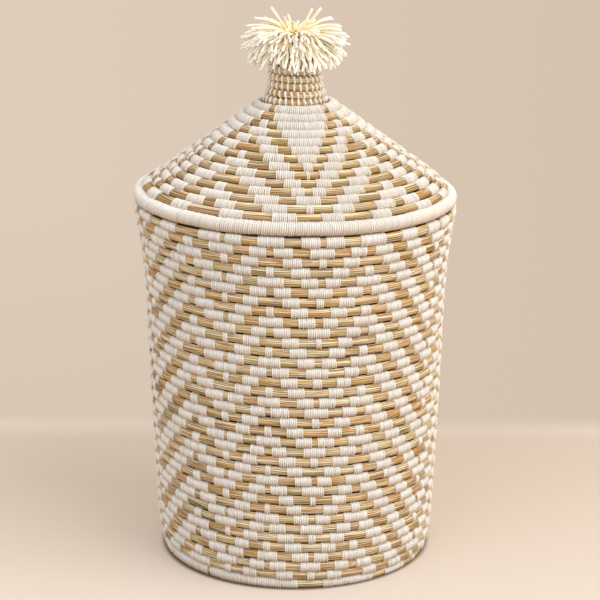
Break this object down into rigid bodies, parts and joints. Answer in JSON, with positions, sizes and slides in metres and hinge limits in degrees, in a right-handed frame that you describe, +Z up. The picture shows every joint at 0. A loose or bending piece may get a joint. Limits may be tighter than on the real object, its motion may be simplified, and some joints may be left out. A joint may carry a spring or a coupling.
{
  "type": "lidded storage basket",
  "caption": "Tall round coiled-grass storage basket with a conical lift-off lid, a coiled neck to hold it by and a yarn pompom on top.",
  "frame": {"origin": "centre of the base, on the surface that the basket stands on", "axes": "+Z up through the middle of the basket, the lid and the pompom; -Y is the side seen in the picture"},
  "size_m": [0.2892, 0.2892, 0.493],
  "materials": {
    "grass_bundle": "dry, satin grass stems laid side by side",
    "binding_yarn": "matt off-white yarn wound in close turns",
    "pompom_yarn": "soft cream yarn, cut and fluffed"
  },
  "bodies": {
    "basket": {"base_centre_knot": "grass_bundle", "base_coil": "grass_bundle", "wall_coil_lower": "grass_bundle", "wall_coil_upper": "grass_bundle"},
    "lid": {"lid_coil": "grass_bundle", "lid_edge_roll": "binding_yarn", "lid_locating_coil": "grass_bundle", "neck_coil": "grass_bundle", "neck_core": "grass_bundle", "pompom_tie": "pompom_yarn", "pompom_yarn": "pompom_yarn"}
  },
  "joints": [
    {"name": "lid_lift", "type": "slide", "parent": "basket", "child": "lid", "axis": [0, 0, 1], "range_m": [0, 0.3]}
  ]
}
